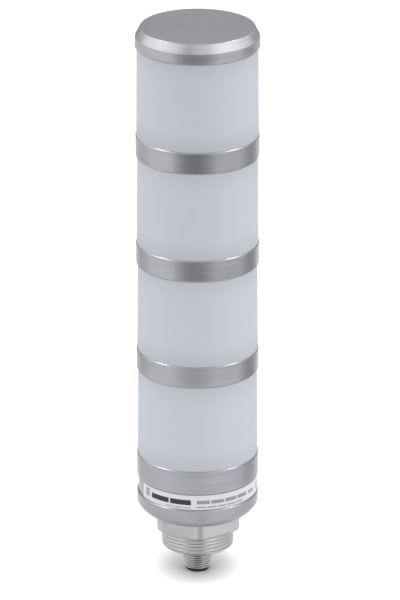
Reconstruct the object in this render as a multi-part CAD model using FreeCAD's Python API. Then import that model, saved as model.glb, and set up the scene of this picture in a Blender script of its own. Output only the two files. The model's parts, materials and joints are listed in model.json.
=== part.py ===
import FreeCAD, Part
import math
import os

os.makedirs("parts", exist_ok=True)

# Stack light with four opal segments on a 50 mm column, millimetres, +Z up.
# Z = 0 is the underside of the hexagon, where it sits on a panel. The front is -Y.

# Column
column_diameter = 50.0
segment_count = 4
lens_height = 36.8
ring_height = 9.2
edge_break = 0.4

# Joint between a lens and the metal above and below it
lens_inset_top = 0.6
lens_inset_bottom = 0.3
lens_wall = 2.2
spigot_wall = 1.2
web_thickness = 1.6
web_width = 3.2
seal_thickness = 0.8
seat_clearance = 0.1

# Top cap
cap_band_height = 4.5
cap_chamfer_height = 3.8
cap_chamfer_width = 1.9
cap_roof = 3.0
cap_pocket_rim = 4.0
cap_boss_diameter = 10.0
cap_boss_length = 5.5

# Base housing, from the cup underneath up to the band
cup_height = 4.7
cup_rim_diameter = 39.4
cup_bulge = 0.6
lip_round = 0.8
lip_height = 4.8
groove_height = 6.8
groove_depth = 0.6
base_band_height = 10.4
base_wall = 2.65
base_floor = 4.2
base_inner_chamfer = 1.8

# Label in the groove
label_thickness = 0.2
label_margin = 0.2
glue_gap = 0.05
label_left_angle = 64.6
label_right_angle = 110.0

# Mounting stud: hexagon collar, threaded stub below, neck into the base above
hex_across_flats = 34.0
hex_corner_diameter = 37.3
hex_height = 6.3
hex_corner_turn = 3.0
stud_diameter = 30.0
stud_length = 8.9
stud_chamfer = 0.6
neck_diameter = 20.0
neck_proud = 0.3
stud_bore_diameter = 16.0
stud_end_wall = 2.0
stud_seal_diameter = 29.0
stud_seal_width = 2.0
stud_nut_wall = 2.2
stud_nut_thickness = 3.0
nut_slot_width = 3.0
nut_slot_depth = 1.1

# Plug connector in the stud
connector_diameter = 12.0
connector_length = 10.3
connector_chamfer = 0.5
connector_relief = 0.2
connector_wall = 1.2
connector_flange_thickness = 3.0
connector_tail = 4.1
connector_nut_thickness = 2.5
connector_nut_slot = 1.8
insert_rim = 1.6
insert_rim_wall = 0.6
insert_collar_width = 0.9
insert_collar_thickness = 1.0
socket_depth = 8.0
key_width = 0.9
key_depth = 0.8
pin_diameter = 1.0
pin_circle_diameter = 5.5
pin_recess = 1.2
pin_tail = 2.0
outer_pin_count = 4
lead_diameter = 1.2

# Boards and carriers in the base
carrier_count = 3
spacer_across_flats = 4.0
lower_spacer_length = 9.0
upper_spacer_length = 5.5
fixing_diameter = 2.4
fixing_engagement = 3.0
fixing_spare = 0.5
fixing_head_diameter = 4.4
fixing_head_height = 1.5
control_board_edge_gap = 1.0
board_thickness = 1.6
core_plate_thickness = 2.5
core_plate_edge_gap = 0.5
core_socket_depth = 0.8
processor_size = 7.0
processor_height = 1.4
driver_length = 5.0
driver_width = 4.0
driver_height = 1.6
chip_inset = 3.0
capacitor_diameter = 5.0
capacitor_height = 6.0

# Core with its LED boards
core_width = 14.0
rail_wall = 1.0
rail_lip = 0.8
rail_overhang = 0.8
led_board_width = 11.0
led_board_thickness = 1.0
led_board_end_gap = 1.0
led_size = 5.0
led_height = 1.6
led_notch = 0.8
led_rows = 3
led_row_pitch = 12.0
strip_lead_width = 7.5
strip_lead_thickness = 0.3
barrier_thickness = 1.2
barrier_edge_gap = 0.6
barrier_collar_wall = 1.7
window_clearance = 0.3

# Tie rod through the core
tie_rod_diameter = 4.0
tie_rod_clearance = 0.3
tie_nut_across_flats = 7.0
tie_nut_thickness = 3.2
tie_washer_diameter = 9.0
tie_washer_thickness = 0.8
tie_rod_proud = 0.5
tie_thread_depth = 5.0
tie_hole_spare = 0.5

# Clearance between a thread, pin or screw and its hole, each side
thread_clearance = 0.1
pin_clearance = 0.05

# Radii that follow from the sizes above
column_radius = column_diameter / 2
lens_bore = column_radius - lens_inset_top - lens_wall
spigot_radius = lens_bore + spigot_wall
joint_bore = spigot_radius + seat_clearance
web_bore = joint_bore - web_width
groove_radius = column_radius - groove_depth
cavity_radius = groove_radius - base_wall
stud_bore = stud_bore_diameter / 2
neck_radius = neck_diameter / 2
stud_nut_radius = neck_radius + stud_nut_wall
carrier_circle_radius = (stud_nut_radius + cavity_radius - base_inner_chamfer) / 2
chip_circle_radius = carrier_circle_radius - chip_inset
connector_radius = connector_diameter / 2
flange_radius = stud_bore - seat_clearance
shell_bore = connector_radius - connector_wall
insert_radius = shell_bore - seat_clearance
rail_width = led_board_width + 2 * (seat_clearance + rail_wall)
rail_reach = core_width / 2 + led_board_thickness + seat_clearance + rail_lip
led_reach = core_width / 2 + led_board_thickness + led_height

# Heights that follow from the sizes above
spigot_length = (ring_height - web_thickness) / 2 - seal_thickness
joint_depth = spigot_length + seal_thickness
base_bottom = hex_height
lip_bottom = base_bottom + cup_height
groove_bottom = lip_bottom + lip_height
groove_top = groove_bottom + groove_height
base_top = groove_top + base_band_height
segment_pitch = lens_height + ring_height
cap_bottom = base_top + segment_count * lens_height + (segment_count - 1) * ring_height
cap_top = cap_bottom + cap_band_height + cap_chamfer_height
floor_top = base_bottom + base_floor
board_bottom = floor_top + lower_spacer_length
board_top = board_bottom + board_thickness
plate_bottom = board_top + upper_spacer_length
plate_top = plate_bottom + core_plate_thickness
core_bottom = plate_top - core_socket_depth
core_top = cap_top - cap_roof - cap_boss_length
stud_bottom = -stud_length
connector_seat = stud_bottom + stud_end_wall
flange_bottom = connector_seat + seal_thickness
flange_top = flange_bottom + connector_flange_thickness
shell_top = flange_top + connector_tail
shell_bottom = stud_bottom - connector_length
insert_bottom = shell_bottom - insert_rim
insert_top = shell_top + insert_collar_thickness
pin_top = insert_top + pin_tail
led_board_bottom = plate_top + led_board_end_gap
led_board_top = core_top - led_board_end_gap

up = FreeCAD.Vector(0, 0, 1)
origin = FreeCAD.Vector(0, 0, 0)


def save(name, shape):
    """Write one sub-part to its own file."""
    shape.exportStep("parts/" + name + ".step")


def at(radius, height):
    """Point of a turned profile."""
    return FreeCAD.Vector(radius, 0, height)


def line(start, end):
    return Part.LineSegment(at(*start), at(*end)).toShape()


def arc(start, middle, end):
    return Part.Arc(at(*start), at(*middle), at(*end)).toShape()


def revolved(edges, sweep=360.0):
    """Solid turned about Z from the edges of a closed profile."""
    face = Part.Face(Part.Wire(edges))
    return face.revolve(origin, up, sweep)


def turned(corners, sweep=360.0):
    """Solid turned about Z from (radius, height) corners."""
    following = corners[1:] + corners[:1]
    return revolved([line(a, b) for a, b in zip(corners, following)], sweep)


def tube(inner, outer, low, high):
    return turned([(inner, low), (outer, low), (outer, high), (inner, high)])


def rod(radius, low, high, x=0.0, y=0.0):
    return Part.makeCylinder(radius, high - low, FreeCAD.Vector(x, y, low), up)


def block(x_range, y_range, z_range):
    """Box between the two ends of each range."""
    low = FreeCAD.Vector(x_range[0], y_range[0], z_range[0])
    sides = [high - start for start, high in (x_range, y_range, z_range)]
    return Part.makeBox(*sides, low)


def centred(width):
    return (-width / 2, width / 2)


def cross(width, reach, z_range):
    """Two bars of the given width at right angles, which end at the reach on every side."""
    along_x = block(centred(2 * reach), centred(width), z_range)
    along_y = block(centred(width), centred(2 * reach), z_range)
    return [along_x, along_y]


def hexagon(across_flats, low, high, corner_angle=0.0):
    """Hexagonal prism on the Z axis with one corner at the given angle."""
    reach = across_flats / 2 / math.cos(math.radians(30))
    angles = [math.radians(corner_angle + 60 * i) for i in range(7)]
    corners = [FreeCAD.Vector(reach * math.cos(a), reach * math.sin(a), low) for a in angles]
    return Part.Face(Part.makePolygon(corners)).extrude(up * (high - low))


def turn(shape, degrees):
    """Copy of a shape turned about Z."""
    copy = shape.copy()
    copy.rotate(origin, up, degrees)
    return copy


def around(shape, count, first=0.0):
    """Copies of a shape at equal angles about Z."""
    return [turn(shape, first + 360.0 * i / count) for i in range(count)]


def circle_edge(shape, radius, height):
    """The round edge of a turned shape at a radius and height."""
    for edge in shape.Edges:
        curve = edge.Curve
        if isinstance(curve, Part.Circle) and abs(curve.Radius - radius) < 1e-6:
            if abs(curve.Center.z - height) < 1e-6:
                return edge
    raise ValueError("no round edge at that radius and height")


def lens_bottom_of(index):
    """Lower visible edge of a lens, counted from the top of the column."""
    return base_top + (segment_count - index) * segment_pitch


def ring_bottom_of(index):
    return lens_bottom_of(index) - ring_height


# Column pieces
def make_lens(bottom):
    """Opal tube: drafted outside, straight bore, a thin spigot at each end."""
    top = bottom + lens_height
    return turned([
        (lens_bore, bottom - spigot_length),
        (spigot_radius, bottom - spigot_length),
        (spigot_radius, bottom),
        (column_radius - lens_inset_bottom, bottom),
        (column_radius - lens_inset_top, top),
        (spigot_radius, top),
        (spigot_radius, top + spigot_length),
        (lens_bore, top + spigot_length),
    ])


def make_ring(bottom):
    """Ring of T section: the band takes a spigot at each end, the web parts the two lenses."""
    top = bottom + ring_height
    web_bottom = bottom + joint_depth
    web_top = web_bottom + web_thickness
    return turned([
        (joint_bore, bottom),
        (column_radius - edge_break, bottom),
        (column_radius, bottom + edge_break),
        (column_radius, top - edge_break),
        (column_radius - edge_break, top),
        (joint_bore, top),
        (joint_bore, web_top),
        (web_bore, web_top),
        (web_bore, web_bottom),
        (joint_bore, web_bottom),
    ])


def make_seal(low):
    """Flat seal between a spigot's end and its seat."""
    return tube(lens_bore, spigot_radius, low, low + seal_thickness)


def make_barrier(ring_bottom):
    """Opaque disc on a ring's web, with a collar in its bore and a window for the core."""
    seat = ring_bottom + joint_depth + web_thickness
    rim = lens_bore - barrier_edge_gap
    collar = web_bore - seat_clearance
    disc = turned([
        (0, seat - web_thickness),
        (collar, seat - web_thickness),
        (collar, seat),
        (rim, seat),
        (rim, seat + barrier_thickness),
        (0, seat + barrier_thickness),
    ])
    disc = disc.cut(rod(collar - barrier_collar_wall, seat - web_thickness, seat))
    height = (seat - web_thickness, seat + barrier_thickness)
    core_window = cross(rail_width + 2 * window_clearance, rail_reach + window_clearance, height)
    led_window = cross(led_size + 2 * window_clearance, led_reach + window_clearance, height)
    return disc.cut(core_window + led_window)


def make_cap():
    """Turned cap: chamfered roof, skirt over the top spigot, boss for the tie rod."""
    shoulder = cap_bottom + cap_band_height
    seat = cap_bottom + joint_depth
    ceiling = cap_top - cap_roof
    pocket = joint_bore - cap_pocket_rim
    boss = cap_boss_diameter / 2
    hole = tie_rod_diameter / 2 + thread_clearance
    hole_top = core_top + tie_thread_depth + tie_hole_spare
    return turned([
        (0, cap_top),
        (column_radius - cap_chamfer_width, cap_top),
        (column_radius, shoulder),
        (column_radius, cap_bottom + edge_break),
        (column_radius - edge_break, cap_bottom),
        (joint_bore, cap_bottom),
        (joint_bore, seat),
        (pocket, seat),
        (pocket, ceiling),
        (boss, ceiling),
        (boss, core_top),
        (hole, core_top),
        (hole, hole_top),
        (0, hole_top),
    ])


# Base pieces
def make_base():
    """Turned housing: rounded cup, lip, label groove and band outside, one cavity inside."""
    hole = neck_radius + thread_clearance
    rim = cup_rim_diameter / 2
    shelf = base_top - joint_depth
    slant = math.hypot(column_radius - rim, cup_height)
    cup_middle = (
        (rim + column_radius) / 2 + cup_bulge * cup_height / slant,
        (base_bottom + lip_bottom) / 2 - cup_bulge * (column_radius - rim) / slant,
    )
    outline = [
        (column_radius, lip_bottom),
        (column_radius, groove_bottom - edge_break),
        (column_radius - edge_break, groove_bottom),
        (groove_radius, groove_bottom),
        (groove_radius, groove_top),
        (column_radius - edge_break, groove_top),
        (column_radius, groove_top + edge_break),
        (column_radius, base_top - edge_break),
        (column_radius - edge_break, base_top),
        (joint_bore, base_top),
        (joint_bore, shelf),
        (cavity_radius, shelf),
        (cavity_radius, floor_top + base_inner_chamfer),
        (cavity_radius - base_inner_chamfer, floor_top),
        (hole, floor_top),
        (hole, base_bottom),
        (rim, base_bottom),
    ]
    cup = arc((rim, base_bottom), cup_middle, (column_radius, lip_bottom))
    housing = revolved([line(a, b) for a, b in zip(outline, outline[1:])] + [cup])
    housing = housing.makeFillet(lip_round, [circle_edge(housing, column_radius, lip_bottom)])
    blind = fixing_engagement + fixing_spare
    fixing = rod(fixing_diameter / 2 + thread_clearance, floor_top - blind, floor_top, carrier_circle_radius)
    return housing.cut(around(fixing, carrier_count, 90.0))


def make_label():
    """Thin band bent round the groove, from the left front to behind the right side."""
    inner = groove_radius + glue_gap
    low = groove_bottom + label_margin
    high = groove_top - label_margin
    corners = [(inner, low), (inner + label_thickness, low), (inner + label_thickness, high), (inner, high)]
    band = turned(corners, label_left_angle + label_right_angle)
    return turn(band, -90.0 - label_left_angle)


def make_stud():
    """Hexagon with turned corners, threaded stub below and neck above, bored right through."""
    radius = stud_diameter / 2
    collar = hexagon(hex_across_flats, 0.0, hex_height, hex_corner_turn - 90.0)
    collar = collar.common(rod(hex_corner_diameter / 2, 0.0, hex_height))
    neck_top = floor_top + stud_nut_thickness + neck_proud
    barrel = turned([
        (0, stud_bottom),
        (radius - stud_chamfer, stud_bottom),
        (radius, stud_bottom + stud_chamfer),
        (radius, 0.0),
        (neck_radius, 0.0),
        (neck_radius, neck_top),
        (0, neck_top),
    ])
    bore = turned([
        (0, stud_bottom),
        (connector_radius + thread_clearance, stud_bottom),
        (connector_radius + thread_clearance, connector_seat),
        (stud_bore, connector_seat),
        (stud_bore, neck_top),
        (0, neck_top),
    ])
    seal_outer = stud_seal_diameter / 2 + seat_clearance
    seal_inner = stud_seal_diameter / 2 - stud_seal_width - seat_clearance
    seal_groove = tube(seal_inner, seal_outer, hex_height - seal_thickness, hex_height)
    return collar.fuse(barrel).removeSplitter().cut([bore, seal_groove])


def make_stud_seal():
    outer = stud_seal_diameter / 2
    return tube(outer - stud_seal_width, outer, hex_height - seal_thickness, hex_height)


def slotted_nut(inner, outer, low, high, slot_width, slot_depth):
    """Ring nut with four wrench slots in its rim."""
    slot = block((outer - slot_depth, outer + slot_depth), centred(slot_width), (low, high))
    return tube(inner, outer, low, high).cut(around(slot, 4))


def make_stud_nut():
    inner = neck_radius + thread_clearance
    top = floor_top + stud_nut_thickness
    return slotted_nut(inner, stud_nut_radius, floor_top, top, nut_slot_width, nut_slot_depth)


# Connector pieces
def make_connector_shell():
    """Sleeve with the plug's thread outside and a flange that the ring nut holds down."""
    shank = connector_radius - connector_relief
    return turned([
        (shell_bore, shell_bottom),
        (connector_radius - connector_chamfer, shell_bottom),
        (connector_radius, shell_bottom + connector_chamfer),
        (connector_radius, stud_bottom),
        (shank, stud_bottom),
        (shank, flange_bottom),
        (flange_radius, flange_bottom),
        (flange_radius, flange_top),
        (connector_radius, flange_top),
        (connector_radius, shell_top),
        (shell_bore, shell_top),
    ])


def make_connector_gasket():
    return tube(connector_radius + thread_clearance, flange_radius, connector_seat, flange_bottom)


def make_connector_nut():
    top = flange_top + connector_nut_thickness
    inner = connector_radius + thread_clearance
    slot_depth = (flange_radius - inner) / 2
    return slotted_nut(inner, flange_radius, flange_top, top, connector_nut_slot, slot_depth)


def pin_places():
    """Centres of the contact pins: one in the middle, the rest on a circle."""
    places = [(0.0, 0.0)]
    for i in range(outer_pin_count):
        angle = math.radians(45.0 + 360.0 * i / outer_pin_count)
        reach = pin_circle_diameter / 2
        places.append((reach * math.cos(angle), reach * math.sin(angle)))
    return places


def make_insert():
    """Contact carrier: socket with a coding key at the tip, collar on the shell at the top."""
    socket = insert_radius - insert_rim_wall
    socket_top = insert_bottom + socket_depth
    collar = insert_radius + insert_collar_width
    body = turned([
        (socket, insert_bottom),
        (insert_radius, insert_bottom),
        (insert_radius, shell_top),
        (collar, shell_top),
        (collar, insert_top),
        (0, insert_top),
        (0, socket_top),
        (socket, socket_top),
    ])
    key = block((socket - key_depth, socket + insert_rim_wall / 2), centred(key_width),
                (insert_bottom + pin_recess, socket_top))
    hole = pin_diameter / 2 + pin_clearance
    holes = [rod(hole, socket_top, insert_top, x, y) for x, y in pin_places()]
    return body.fuse(turn(key, 90.0)).removeSplitter().cut(holes)


def make_pin(x, y):
    """Round contact with a tapered tip."""
    radius = pin_diameter / 2
    tip = insert_bottom + pin_recess
    pin = turned([(0, tip), (radius / 2, tip), (radius, tip + radius), (radius, pin_top), (0, pin_top)])
    pin.translate(FreeCAD.Vector(x, y, 0))
    return pin


def make_connector_leads():
    return [rod(lead_diameter / 2, pin_top, board_bottom, x, y) for x, y in pin_places()]


# Carriers and boards
def make_spacers(low, high):
    """Hexagonal sleeves that the long screws pass through."""
    sleeve = hexagon(spacer_across_flats, low, high, 90.0)
    sleeve = sleeve.cut(rod(fixing_diameter / 2 + thread_clearance, low, high))
    sleeve.translate(FreeCAD.Vector(carrier_circle_radius, 0, 0))
    return around(sleeve, carrier_count, 90.0)


def make_carrier_screws():
    """Long screws from the core plate through both sets of spacers into the floor."""
    shank = rod(fixing_diameter / 2, floor_top - fixing_engagement, plate_top, carrier_circle_radius)
    head = rod(fixing_head_diameter / 2, plate_top, plate_top + fixing_head_height, carrier_circle_radius)
    return around(head.fuse(shank).removeSplitter(), carrier_count, 90.0)


def fixing_holes(low, high):
    """Clearance holes for the long screws."""
    hole = rod(fixing_diameter / 2 + thread_clearance, low, high, carrier_circle_radius)
    return around(hole, carrier_count, 90.0)


def make_control_board():
    board = rod(cavity_radius - control_board_edge_gap, board_bottom, board_top)
    return board.cut(fixing_holes(board_bottom, board_top))


def make_core_plate():
    """Round plate with a socket for the core and a slot for each board's lead."""
    plate = rod(cavity_radius - core_plate_edge_gap, plate_bottom, plate_top)
    socket = cross(rail_width + 2 * seat_clearance, rail_reach + seat_clearance, (core_bottom, plate_top))
    rod_hole = rod(tie_rod_diameter / 2 + tie_rod_clearance, plate_bottom, plate_top)
    slots = make_strip_leads(window_clearance, plate_bottom, plate_top)
    return plate.cut(socket + [rod_hole] + slots + fixing_holes(plate_bottom, plate_top))


def make_processor():
    side = centred(processor_size)
    chip = block(side, side, (board_top, board_top + processor_height))
    chip.translate(FreeCAD.Vector(0, -chip_circle_radius, 0))
    return chip


def make_driver_chips():
    chip = block(centred(driver_length), centred(driver_width), (board_top, board_top + driver_height))
    chip.translate(FreeCAD.Vector(chip_circle_radius, 0, 0))
    return [turn(chip, angle) for angle in (0.0, 180.0)]


def make_capacitor():
    low = board_bottom - capacitor_height
    return turn(rod(capacitor_diameter / 2, low, board_bottom, carrier_circle_radius), 30.0)


# Core pieces
def make_core():
    """Extruded core: a lipped rail on each side takes an LED board, a bore takes the tie rod."""
    length = (core_bottom, core_top)
    face = core_width / 2
    lip_start = rail_reach - rail_lip
    channel_width = led_board_width + 2 * seat_clearance
    channel = block((face, lip_start), centred(channel_width), length)
    mouth = block((lip_start, rail_reach), centred(channel_width - 2 * rail_overhang), length)
    bore = rod(tie_rod_diameter / 2 + tie_rod_clearance, *length)
    bars = cross(rail_width, rail_reach, length)
    core = bars[0].fuse(bars[1]).removeSplitter()
    return core.cut([bore] + around(channel, 4) + around(mouth, 4))


def make_led_board(angle):
    """Long board on one side of the core, given by its angle."""
    depth = (core_width / 2, core_width / 2 + led_board_thickness)
    board = block(depth, centred(led_board_width), (led_board_bottom, led_board_top))
    return turn(board, angle)


def make_led(angle, height):
    """Surface-mounted LED with one notched corner."""
    face = core_width / 2 + led_board_thickness
    half = led_size / 2
    outline = [
        (-half, -half),
        (half, -half),
        (half, half - led_notch),
        (half - led_notch, half),
        (-half, half),
    ]
    corners = [FreeCAD.Vector(face, y, height + z) for y, z in outline]
    led = Part.Face(Part.makePolygon(corners + corners[:1])).extrude(FreeCAD.Vector(led_height, 0, 0))
    return turn(led, angle)


def make_leds(index):
    """All LEDs of one segment, in rows on the four boards."""
    middle = lens_bottom_of(index) + lens_height / 2
    lowest = middle - (led_rows - 1) * led_row_pitch / 2
    rows = [lowest + row * led_row_pitch for row in range(led_rows)]
    return [make_led(90.0 * side, height) for side in range(4) for height in rows]


def make_strip_leads(clearance, low, high):
    """Flat lead at the foot of each LED board, or with a clearance the slot that it passes through."""
    middle = (core_width + led_board_thickness) / 2
    half = strip_lead_thickness / 2 + clearance
    width = strip_lead_width + 2 * clearance
    return around(block((middle - half, middle + half), centred(width), (low, high)), 4)


def make_tie_rod():
    low = plate_bottom - tie_washer_thickness - tie_nut_thickness - tie_rod_proud
    return rod(tie_rod_diameter / 2, low, core_top + tie_thread_depth)


def make_tie_washer():
    inner = tie_rod_diameter / 2 + tie_rod_clearance
    return tube(inner, tie_washer_diameter / 2, plate_bottom - tie_washer_thickness, plate_bottom)


def make_tie_nut():
    high = plate_bottom - tie_washer_thickness
    low = high - tie_nut_thickness
    nut = hexagon(tie_nut_across_flats, low, high)
    return nut.cut(rod(tie_rod_diameter / 2 + thread_clearance, low, high))


def build():
    save("top_cap", make_cap())
    for index in range(1, segment_count + 1):
        bottom = lens_bottom_of(index)
        top = bottom + lens_height
        save("lens_%d" % index, make_lens(bottom))
        save("lens_seal_%d_top" % index, make_seal(top + spigot_length))
        save("lens_seal_%d_bottom" % index, make_seal(bottom - joint_depth))
        save("leds_%d" % index, Part.makeCompound(make_leds(index)))
    for index in range(1, segment_count):
        save("divider_ring_%d" % index, make_ring(ring_bottom_of(index)))
        save("light_barrier_%d" % index, make_barrier(ring_bottom_of(index)))
    save("base_housing", make_base())
    save("label", make_label())
    save("mounting_stud", make_stud())
    save("stud_gasket", make_stud_seal())
    save("stud_nut", make_stud_nut())
    save("connector_shell", make_connector_shell())
    save("connector_gasket", make_connector_gasket())
    save("connector_nut", make_connector_nut())
    save("connector_insert", make_insert())
    save("contact_pins", Part.makeCompound([make_pin(x, y) for x, y in pin_places()]))
    save("connector_leads", Part.makeCompound(make_connector_leads()))
    save("lower_spacers", Part.makeCompound(make_spacers(floor_top, board_bottom)))
    save("upper_spacers", Part.makeCompound(make_spacers(board_top, plate_bottom)))
    save("control_board", make_control_board())
    save("processor_chip", make_processor())
    save("driver_chips", Part.makeCompound(make_driver_chips()))
    save("filter_capacitor", make_capacitor())
    save("core_plate", make_core_plate())
    save("carrier_screws", Part.makeCompound(make_carrier_screws()))
    save("core_column", make_core())
    for side in range(4):
        save("led_board_%d" % (side + 1), make_led_board(90.0 * side))
    save("strip_leads", Part.makeCompound(make_strip_leads(0.0, board_top, led_board_bottom)))
    save("tie_rod", make_tie_rod())
    save("tie_washer", make_tie_washer())
    save("tie_nut", make_tie_nut())


build()
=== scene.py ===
import json
import math

import bpy
import numpy as np
from bpy.props import FloatProperty, FloatVectorProperty, PointerProperty
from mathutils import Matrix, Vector


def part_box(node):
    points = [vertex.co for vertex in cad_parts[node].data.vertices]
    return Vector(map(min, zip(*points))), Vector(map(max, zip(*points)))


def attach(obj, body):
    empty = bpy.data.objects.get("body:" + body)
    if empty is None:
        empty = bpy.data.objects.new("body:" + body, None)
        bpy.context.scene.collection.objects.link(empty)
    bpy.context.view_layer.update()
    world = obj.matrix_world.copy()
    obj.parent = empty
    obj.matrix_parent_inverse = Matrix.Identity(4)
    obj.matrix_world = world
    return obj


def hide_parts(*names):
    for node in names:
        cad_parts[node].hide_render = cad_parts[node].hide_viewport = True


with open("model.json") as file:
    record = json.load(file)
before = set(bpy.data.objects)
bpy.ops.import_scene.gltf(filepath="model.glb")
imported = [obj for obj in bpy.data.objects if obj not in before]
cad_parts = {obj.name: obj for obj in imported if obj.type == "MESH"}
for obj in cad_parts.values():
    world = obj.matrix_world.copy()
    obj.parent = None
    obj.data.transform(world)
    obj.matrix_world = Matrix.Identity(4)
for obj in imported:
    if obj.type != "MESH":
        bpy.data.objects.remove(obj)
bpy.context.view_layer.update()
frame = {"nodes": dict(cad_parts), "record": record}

bl_info = {
    "name": "Stack light",
    "version": (1, 0, 0),
    "blender": (4, 5, 0),
    "location": "3D View > Sidebar > Stack light",
    "description": "Turned surfaces, finishes and a studio for the packed solids of a stack light",
    "category": "Object",
}

MM = 0.001
TURN = 2 * math.pi
FRONT = -TURN / 4
WHITE = (1.0, 1.0, 1.0, 1.0)

# Steps round the turned pieces and along the label
COLUMN_STEPS = 240
STUD_STEPS = 360
PLUG_STEPS = 180
LABEL_STEPS = 176

EASE_STEPS = 6  # rows of a rounded corner
EASE_HOLD = 0.04 * MM  # length kept flat beside a rounded corner
EASE_GAP = 0.1 * MM  # length left between two rounded corners
THREAD_ROWS = 16  # rows of a thread in a turn
CREST = 0.12  # crest of a thread, as a share of half a turn
FLANK = 0.68  # flank of a thread, as a share of half a turn
FADE = 0.35  # turns that a thread fades in over
CLOSE = 1e-8  # points nearer than this are one
SHARP = math.radians(32)  # edges sharper than this part the shading
AXIS_RADIUS = 0.2 * MM  # radius down to which turned lines narrow towards the axis
CARD_COLOUR = (0.04, 0.04, 0.045, 1.0)  # colour of the dark cards
CARD_FOOT = 30.0 * MM  # height over which a dark card fades in at its foot
CARD_FOOT_SHARE = 0.16  # most of a card's height that this fade takes


# Places read from the frame
def span(node):
    """Lowest and highest point of a CAD node along the axis."""
    low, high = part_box(node)
    return low.z, high.z


cap_bottom, cap_top = span("top_cap")
ring_spans = [span("divider_ring_%d" % index) for index in (1, 2, 3)]
base_bottom, base_top = span("base_housing")
stud_bottom, stud_top = span("mounting_stud")
shell_bottom, shell_top = span("connector_shell")
label_bottom, label_top = span("label")
tip = span("connector_insert")[0]
column_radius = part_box("top_cap")[1].x
segment_pitch = ring_spans[0][0] - ring_spans[1][0]


# Sizes and colours that a user may change
def length(label, description, millimetres):
    """A length given in millimetres and kept in metres."""
    return FloatProperty(name=label, description=description, default=millimetres * MM, min=0.0,
                         unit="LENGTH", precision=5)


def angle(label, description, degrees):
    """An angle given in degrees and kept in radians."""
    return FloatProperty(name=label, description=description, default=math.radians(degrees), unit="ROTATION")


def share(label, description, default):
    """A number from 0 to 1."""
    return FloatProperty(name=label, description=description, default=default, min=0.0, max=1.0,
                         subtype="FACTOR")


def power(label, description, watts):
    """The power of a lamp."""
    return FloatProperty(name=label, description=description, default=watts, min=0.0, unit="POWER")


def width_height(label, description, default):
    """Width and height in metres."""
    return FloatVectorProperty(name=label, description=description, default=default, size=2, unit="LENGTH")


def colour(label, description, default):
    """A linear colour."""
    return FloatVectorProperty(name=label, description=description, default=default, size=3, min=0.0, max=1.0,
                               subtype="COLOR")


def card(label, description, default):
    """A card of the studio as azimuth in degrees, distance, width and height in metres, and darkness."""
    return FloatVectorProperty(name=label, description=description, default=default, size=5)


class STACKLIGHT_PG_joints(bpy.types.PropertyGroup):
    """Sizes of the lenses and of the metal above and below them."""
    edge_break: length("Edge break", "Size of the small 45 degree chamfer on the turned edges", 0.4)
    edge_ease: length("Edge ease", "Rounding of that chamfer's corners", 0.12)
    lens_inset_top: length("Lens inset, top", "How far a lens stands back at its top", 0.6)
    lens_inset_bottom: length("Lens inset, bottom", "How far a lens stands back at its bottom", 0.3)
    lens_top_ease: length("Lens ease, top", "Rounding of a lens's upper edge", 0.2)
    lens_bottom_ease: length("Lens ease, bottom", "Rounding of a lens's lower edge", 0.05)
    lens_bore: length("Lens bore", "Inner radius of a lens", 22.2)
    spigot_radius: length("Spigot radius", "Outer radius of a lens's thin ends", 23.4)
    spigot_length: length("Spigot length", "Length of a lens's thin ends", 3.0)
    spigot_ease: length("Spigot ease", "Rounding of a lens's thin ends", 0.2)
    bore: length("Joint bore", "Inner radius of the metal round a spigot", 23.5)
    depth: length("Joint depth", "Depth of the metal round a spigot and its seal", 3.8)
    web_bore: length("Web bore", "Inner radius of a ring's web", 20.3)


class STACKLIGHT_PG_cap(bpy.types.PropertyGroup):
    """Sizes of the top cap."""
    chamfer_height: length("Chamfer height", "Height of the sloping edge", 3.8)
    chamfer_width: length("Chamfer width", "Width of the sloping edge", 1.9)
    chamfer_foot_ease: length("Chamfer foot ease", "Rounding below the sloping edge", 0.3)
    chamfer_top_ease: length("Chamfer top ease", "Rounding above the sloping edge", 0.35)
    roof: length("Roof", "Thickness of the flat top", 3.0)
    pocket: length("Pocket radius", "Radius of the hollow under the roof", 19.5)
    boss_radius: length("Boss radius", "Radius of the boss for the tie rod", 5.0)
    boss_length: length("Boss length", "Length of the boss for the tie rod", 5.5)
    boss_ease: length("Boss ease", "Rounding of the boss's end", 0.4)
    hole_radius: length("Hole radius", "Radius of the hole for the tie rod", 2.1)
    hole_depth: length("Hole depth", "Depth of the hole for the tie rod", 5.5)


class STACKLIGHT_PG_base(bpy.types.PropertyGroup):
    """Sizes of the base housing and its label."""
    cup_height: length("Cup height", "Height of the rounded underside", 4.7)
    cup_rim: length("Cup rim", "Radius of the rounded underside's lower rim", 19.7)
    cup_bulge: length("Cup bulge", "How far the underside swells from a straight cone", 0.6)
    cup_ease: length("Cup ease", "Rounding of the underside's lower rim", 0.15)
    lip_ease: length("Lip ease", "Length that the lip's lower edge is rounded over", 0.6)
    lip_height: length("Lip height", "Height of the lip under the groove", 4.8)
    groove_height: length("Groove height", "Height of the label's groove", 6.8)
    groove_depth: length("Groove depth", "Depth of the label's groove", 0.6)
    cavity: length("Cavity radius", "Inner radius of the housing", 21.5)
    floor: length("Floor", "Thickness of the housing's floor", 4.2)
    inner_chamfer: length("Inner chamfer", "Chamfer between the floor and the wall", 1.8)
    hole: length("Floor hole", "Radius of the hole for the stud's neck", 10.1)
    label_gap: length("Label gap", "Glue under the label", 0.05)
    label_thickness: length("Label thickness", "Thickness of the film", 0.2)
    label_ease: length("Label ease", "Rounding of the film's outer edges", 0.05)
    label_left: angle("Label's left end", "Angle from the front to the left end", 64.6)
    label_right: angle("Label's right end", "Angle from the front to the right end", 110.0)


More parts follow.
